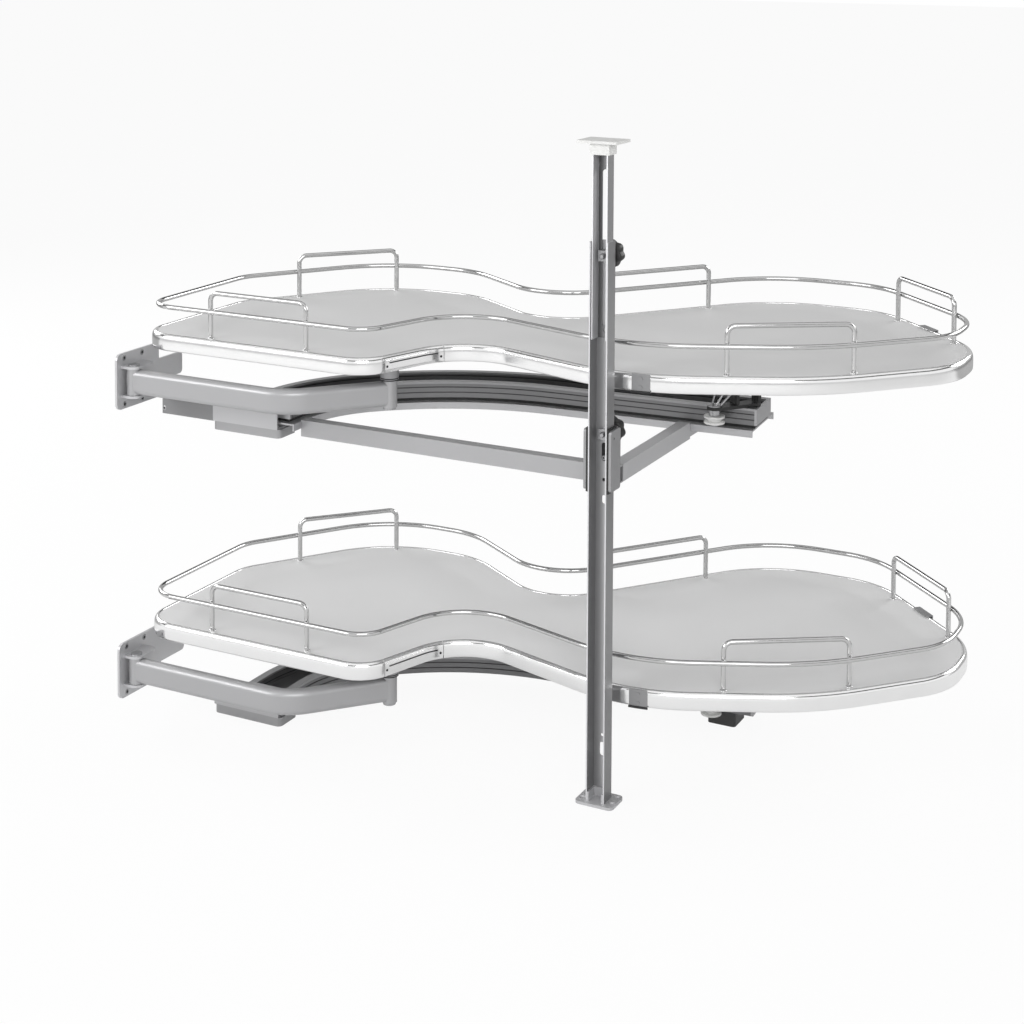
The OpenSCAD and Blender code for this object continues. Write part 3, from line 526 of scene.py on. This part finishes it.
# ---- Boards ----------------------------------------------------------------------------------------
# Each panel is particle board, sawn to the tray's outline and faced with pale grey melamine: matt, with a
# very fine pearl texture and faint mottling.
board_finish = Finish("melamine")
pearl = board_finish.noise(1500, 2, 0.55)
mottle = board_finish.noise(9, 4, 0.5)
board_finish.feed(
    base_color=board_finish.blend(grey(0.685), grey(0.735), pearl * 0.5 + mottle * 0.5),
    roughness=board_finish.band(mottle, 0.3, 0.7, 0.48, 0.56),
    normal=board_finish.bump(pearl, 0.00003, 0.5),
)
paint(board_finish, "upper_board", "lower_board")

# ---- Edge bands ------------------------------------------------------------------------------------
# A polished metal moulding goes round each board. Its face is upright and its upper edge rolls over the
# board's rim. A short joiner closes it in the notch, held by small rivets.
TRAY_W, TRAY_D = 928.0, 557.0
corner_shares = (
    (0, 0, 0.0626), (0, 0.386, 0.0835), (0.1315, 0.7145, 0.2086), (0.2791, 0.7145, 0.1669),
    (0.4429, 0.5296, 0.0974), (0.6606, 1, 0.2086), (0.8276, 1, 0.153), (1, 0.7127, 0.153),
    (1, 0.5314, 0.1391), (0.8718, 0.2962, 0.4173), (0.6649, 0.1364, 0.2782), (0.403, 0.2675, 0.0974),
    (0.3502, 0, 0.0626),
)


def tray_edge(step=2.0):
    """The tray's outline, clockwise, as pairs of a point and the direction outwards, in millimetres."""
    mean = math.sqrt(TRAY_W * TRAY_D)
    corners = [(Vector((x * TRAY_W, y * TRAY_D)), r * mean) for x, y, r in corner_shares]
    edge = []
    for i, (corner, radius) in enumerate(corners):
        into = (corner - corners[i - 1][0]).normalized()
        out = (corners[(i + 1) % len(corners)][0] - corner).normalized()
        turn = math.atan2(into.x * out.y - into.y * out.x, into.dot(out))
        side = Vector((-into.y, into.x)) * (1 if turn < 0 else -1)
        centre = corner - into * radius * math.tan(abs(turn) / 2) - side * radius
        count = max(2, math.ceil(abs(math.degrees(turn)) / step))
        for k in range(count + 1):
            a = turn * k / count
            arm = Matrix.Rotation(a, 2) @ side
            edge.append((centre + arm * radius, arm * (1 if turn < 0 else -1)))
    return edge


def along_edge(points, profile, height):
    """Rings of a profile of (outwards, up) at points of the tray's edge, in metres."""
    return [[spot(*(p + o * u), height + z) for u, z in profile] for p, o in points]


JOINER_Y = (28.6, 109.0)
JOINER_X = (310.0, 380.0)
SEAM = 0.7


def cut_edge(edge, joiner_side):
    """The stretch of the edge that the joiner covers in the notch, or the rest of it, short of the seams."""
    trim = SEAM / 2 if joiner_side else -SEAM / 2
    front, back = JOINER_Y[0] + trim, JOINER_Y[1] - trim
    inside = [front < p.y < back and JOINER_X[0] < p.x < JOINER_X[1] for p, o in edge]
    first = next(i for i in range(len(edge)) if inside[i] and not inside[i - 1])
    count = sum(inside)
    turned = edge[first:] + edge[:first]
    ends = []
    for outer, inner in ((turned[-1], turned[0]), (turned[count], turned[count - 1])):
        level = back if outer[0].y >= back else front
        share = (level - inner[0].y) / (outer[0].y - inner[0].y)
        ends.append((inner[0].lerp(outer[0], share), inner[1].lerp(outer[1], share).normalized()))
    if joiner_side:
        return [ends[0], *turned[:count], ends[1]]
    return [ends[1], *turned[count:], ends[0]]


band_profile = (
    (-1.6, -20.0), (-0.75, -19.7), (-0.25, -18.9), (-0.05, -17.5), (0.0, -15.0), (0.0, -9.0), (-0.06, -6.8),
    (-0.3, -4.9), (-0.75, -3.3), (-1.4, -2.0), (-2.2, -1.05), (-3.1, -0.4), (-4.1, -0.06), (-5.0, -0.02),
    (-5.8, -0.25), (-6.3, -0.7), (-6.35, -0.97), (-2.52, -0.97), (-2.5, -20.0),
)
bright = Finish("bright_band", metallic=1.0)
fog = bright.noise(30, 3, 0.5)
bright.feed(
    base_color=bright.blend(grey(0.86), grey(0.92), fog),
    roughness=bright.band(fog, 0.3, 0.7, 0.12, 0.18),
    normal=bright.bump(bright.noise(70, 2, 0.4), 0.00006, 0.25),
)


def even(stretch, margin, step):
    """Points at even steps along a stretch of the edge, with a margin left at both of its ends."""
    lengths = [0.0]
    for (a, _), (b, _) in zip(stretch, stretch[1:]):
        lengths.append(lengths[-1] + (b - a).length)
    count = max(2, round((lengths[-1] - 2 * margin) / step) + 1)
    made = []
    for k in range(count):
        way = margin + (lengths[-1] - 2 * margin) * k / (count - 1)
        i = next(i for i in range(1, len(lengths)) if lengths[i] >= way)
        share = (way - lengths[i - 1]) / max(lengths[i] - lengths[i - 1], 1e-6)
        (a, u), (b, v) = stretch[i - 1], stretch[i]
        made.append((a.lerp(b, share), u.lerp(v, share).normalized()))
    return made


def wire(bm, line, side, radius, steps=16):
    """Round wire along a line; side is any direction that the line never runs along."""
    turn = [2 * math.pi * k / steps for k in range(steps)]
    rings = []
    for i, point in enumerate(line):
        along = (line[min(i + 1, len(line) - 1)] - line[max(i - 1, 0)]).normalized()
        across = side.cross(along).normalized()
        third = along.cross(across)
        rings.append([point + (third * math.cos(t) + across * math.sin(t)) * radius * MM for t in turn])
    ring_skin(bm, rings)


CREASE_DOWN, RIVETS_DOWN = 8.6, 12.5
RIVET_IN = 3.2
rivet_profile = ((1.5, -0.2), (1.5, 0.25), (1.2, 0.6), (0.5, 0.8))
edge = tray_edge()
for tier, height in TIERS.items():
    for name, joiner_side in (("band", False), ("band_joiner", True)):
        bm = bmesh.new()
        stretch = cut_edge(edge, joiner_side)
        ring_skin(bm, along_edge(stretch, band_profile, height))
        keep(f"{tier}_{name}_moulding", bm, bright, f"{tier}_tray", [f"{tier}_{name}"], 50)
        if joiner_side:
            # A dark wire along the joiner's crease: painted shade in the crease.
            crease_shade_line = along_edge(even(stretch, 7.0, 2.0), [(0.0, -CREASE_DOWN)], height)
            rivets = even(stretch, RIVET_IN, 80.0)
            bm = bmesh.new()
            wire(bm, [ring[0] for ring in crease_shade_line], Vector((0, 0, 1)), 0.8, 8)
            for p, o in (rivets[0], rivets[-1]):
                lathe(bm, spot(*p, height - RIVETS_DOWN), (o.x, o.y, 0), rivet_profile, 16)
            keep(f"{tier}_joiner_rivets", bm, dark_steel_and_painted_shade, f"{tier}_tray")

# ---- Wire galleries --------------------------------------------------------------------------------
# Chromed wire bent to the tray's outline and butt welded, carried by five raised hoops whose legs stand
# on the board. The plating is mirror bright.
chrome = Finish("chrome_wire", metallic=1.0)
haze = chrome.noise(120, 3, 0.5)
chrome.feed(
    base_color=chrome.blend(grey(0.54), grey(0.62), haze),
    roughness=chrome.band(haze, 0.3, 0.7, 0.07, 0.13),
    normal=chrome.bump(chrome.noise(260, 2, 0.4), 0.00002, 0.3),
)
WIRE_R = 2.9
RAIL_IN, RAIL_UP = 8.0, 32.0
LEG_IN = 13.85
wire_turn = [math.pi * k / 8 for k in range(16)]
round_wire = [(WIRE_R * math.cos(a) - RAIL_IN, WIRE_R * math.sin(a)) for a in wire_turn]
hoop_feet = (
    ((100.0, 13.85), (236.0, 13.85)), ((53.8, 272.5), (144.8, 372.5)), ((469.2, 349.4), (558.9, 465.8)),
    ((711.6, 134.0), (833.1, 210.9)), ((798.9, 507.9), (893.8, 412.2)),
)


def nearest_inside(x, y, inwards):
    """Point on the edge moved inwards that lies nearest to x, y."""
    line = [p - o * inwards for p, o in tray_edge(0.5)]
    best = None
    for a, b in zip(line, line[1:] + line[:1]):
        way = b - a
        share = max(0.0, min(1.0, (Vector((x, y)) - a).dot(way) / max(way.length_squared, 1e-9)))
        foot = a + way * share
        gap = (foot - Vector((x, y))).length
        if best is None or gap < best[0]:
            best = (gap, foot)
    return best[1]


HOOP_RISE, HOOP_ROUND = 54.1, 10.0
foot_ring = ((4.1, 0.0), (4.1, 0.3), (3.5, 0.9), (2.95, 1.1))


def hoop_line(a, b, height):
    """Middle line of a hoop from foot a to foot b, with its upper corners rounded, and the way across it."""
    span = (b - a).length
    way = (b - a) / span
    turn = [math.pi / 24 * k for k in range(13)]
    rounds = [(HOOP_ROUND * (1 - math.cos(t)), HOOP_RISE - HOOP_ROUND * (1 - math.sin(t))) for t in turn]
    line = [(0.0, -1.0), *rounds, *((span - s, z) for s, z in reversed(rounds)), (span, -1.0)]
    return [spot(*(a + way * s), height + z) for s, z in line], Vector((-way.y, way.x, 0))


for tier, height in TIERS.items():
    bm = bmesh.new()
    ring_skin(bm, along_edge(edge, round_wire, height + RAIL_UP), closed=True)
    both_rails = [f"{tier}_left_rail", f"{tier}_right_rail"]
    keep(f"{tier}_rail_wire", bm, chrome, f"{tier}_tray", both_rails, 60)
    bm = bmesh.new()
    for a, b in hoop_feet:
        feet = nearest_inside(*a, LEG_IN), nearest_inside(*b, LEG_IN)
        wire(bm, *hoop_line(*feet, height), WIRE_R)
        for foot in feet:
            lathe(bm, spot(*foot, height - 1.0), (0, 0, 1), foot_ring, 24)
    keep(f"{tier}_hoop_wires", bm, chrome, f"{tier}_tray", [f"{tier}_hoops"], 60)

# ---- Tray fittings ---------------------------------------------------------------------------------
# A dull steel strap ties the band at the front and a sheet clip grips it at the back. Under the board lie
# the pivot plate, with its boss on two dark washers, and the black bracket with three steel rods that
# carries the nylon guide roller.
strap_steel = coat("strap_steel", 0.30, roughness=0.38, metallic=0.45)
paint(strap_steel, "upper_strap", "lower_strap", "upper_clip", "lower_clip")
STRAP_SHADE_OUT = 1.8
# A dark wire along the strap's lower edge: painted shade beneath its curled foot.
for tier in TIERS:
    strap_low, strap_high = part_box(f"{tier}_strap")
    under = []
    for p, o in even(edge, 0.0, 1.0):
        if strap_low.x - 0.5 * MM < spot(p.x, p.y, 0).x < strap_high.x + 0.5 * MM and p.y < TRAY_D / 2:
            under.append((p, o))
    bm = bmesh.new()
    strap_shade_line = [ring[0] for ring in along_edge(under, [(STRAP_SHADE_OUT, strap_low.z / MM)], 0.0)]
    wire(bm, strap_shade_line, Vector((0, 0, 1)), 1.3, 10)
    keep(f"{tier}_strap_foot_shade", bm, dark_steel_and_painted_shade, f"{tier}_tray")
paint(coat("pivot_coat", 0.32), "upper_pivot_plate", "lower_pivot_plate")
WASHERS = ((-1.0, 1.3), (2.1, 3.4))


def boss_shade(low):
    """Tone of a boss that stands on two thin dark washers."""

    def shade(made):
        level = made.node("ShaderNodeSeparateXYZ", {}, {0: made.place()}, "Z")
        tone = 1
        for bottom, top in WASHERS:
            start = made.band(level, low + (bottom - 0.1) * MM, low + bottom * MM)
            stop = made.band(level, low + top * MM, low + (top + 0.1) * MM)
            tone = tone - start * (1 - stop) * 0.95
        return tone

    return shade


for tier in TIERS:
    boss_tone = boss_shade(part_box(f"{tier}_pivot_boss")[0].z)
    paint(coat(f"{tier}_boss_coat", 0.36, shade=boss_tone), f"{tier}_pivot_boss")
paint(steel, "upper_pivot_pin", "lower_pivot_pin", "upper_roller_axle", "lower_roller_axle")
paint(coat("carrier_coat", 0.02, roughness=0.4, metallic=0.2), "upper_roller_carrier", "lower_roller_carrier")
paint(plastic("nylon", 0.78, WARM, 0.4), "upper_roller", "lower_roller")
ROLLER_AXIS = (638.0, 288.0)
ROD_FEET_DOWN, ROD_HEADS_DOWN, COLLAR_DOWN = 79.0, 20.5, 80.0
rods = (((634, 291), (640, 318)), ((641, 285), (668, 305)), ((645, 288), (690, 312)))
collar = ((8.4, 0.0), (8.8, 0.5), (8.8, 1.6), (8.2, 2.2), (5.0, 2.4))
for tier, height in TIERS.items():
    bm = bmesh.new()
    for foot, head in rods:
        rod = [spot(*foot, height - ROD_FEET_DOWN), spot(*head, height - ROD_HEADS_DOWN)]
        wire(bm, rod, Vector((0, 0, 1)), 1.3, 10)
    lathe(bm, spot(*ROLLER_AXIS, height - COLLAR_DOWN), (0, 0, 1), collar, 28)
    keep(f"{tier}_carrier_rods", bm, steel, f"{tier}_tray")
